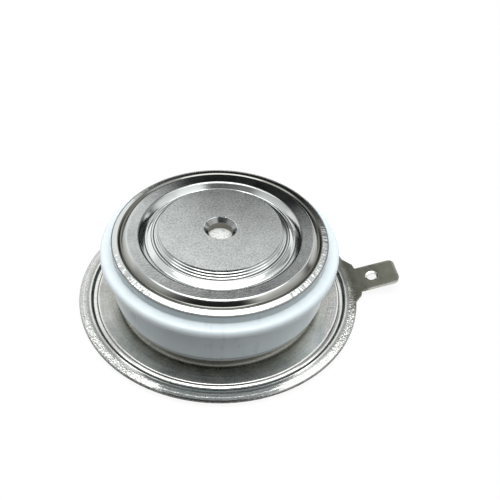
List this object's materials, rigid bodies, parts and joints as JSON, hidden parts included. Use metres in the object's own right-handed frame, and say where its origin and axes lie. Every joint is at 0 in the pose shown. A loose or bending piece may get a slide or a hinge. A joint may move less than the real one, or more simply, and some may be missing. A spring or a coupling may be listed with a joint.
{
  "type": "disc thyristor",
  "caption": "Disc thyristor: metal contact poles on both faces of a white ribbed ceramic ring, with a thin metal flange, a bent blade tab and a gate pin.",
  "frame": {"origin": "centre of the cathode contact face, on the device's axis", "axes": "+Z along the axis from the cathode towards the anode, +X along the blade tab, +Y completes a right-handed set"},
  "size_m": [0.0489, 0.042, 0.014],
  "materials": {
    "pole_plating": "satin, fine blasted grain",
    "sheet_plating": "satin",
    "glaze": "gloss",
    "terminal_plating": "satin",
    "silicon": "polished",
    "molybdenum": "ground",
    "silicone": "matte",
    "insulation": "matte",
    "gate_gold": "plated"
  },
  "bodies": {
    "root": {"anode_pole": "pole_plating", "cathode_pole": "pole_plating", "anode_diaphragm": "sheet_plating", "housing_flange": "sheet_plating", "cathode_lid": "sheet_plating", "ceramic_ring": "glaze", "gate_terminal": "terminal_plating", "gate_eyelet": "terminal_plating", "silicon_wafer": "silicon", "anode_disc": "molybdenum", "cathode_disc": "molybdenum", "edge_seal": "silicone", "insulating_liner": "insulation", "gate_insulator": "insulation", "lead_sleeve": "insulation", "gate_spring": "gate_gold", "gate_pin": "gate_gold", "gate_lead": "gate_gold"}
  },
  "joints": []
}
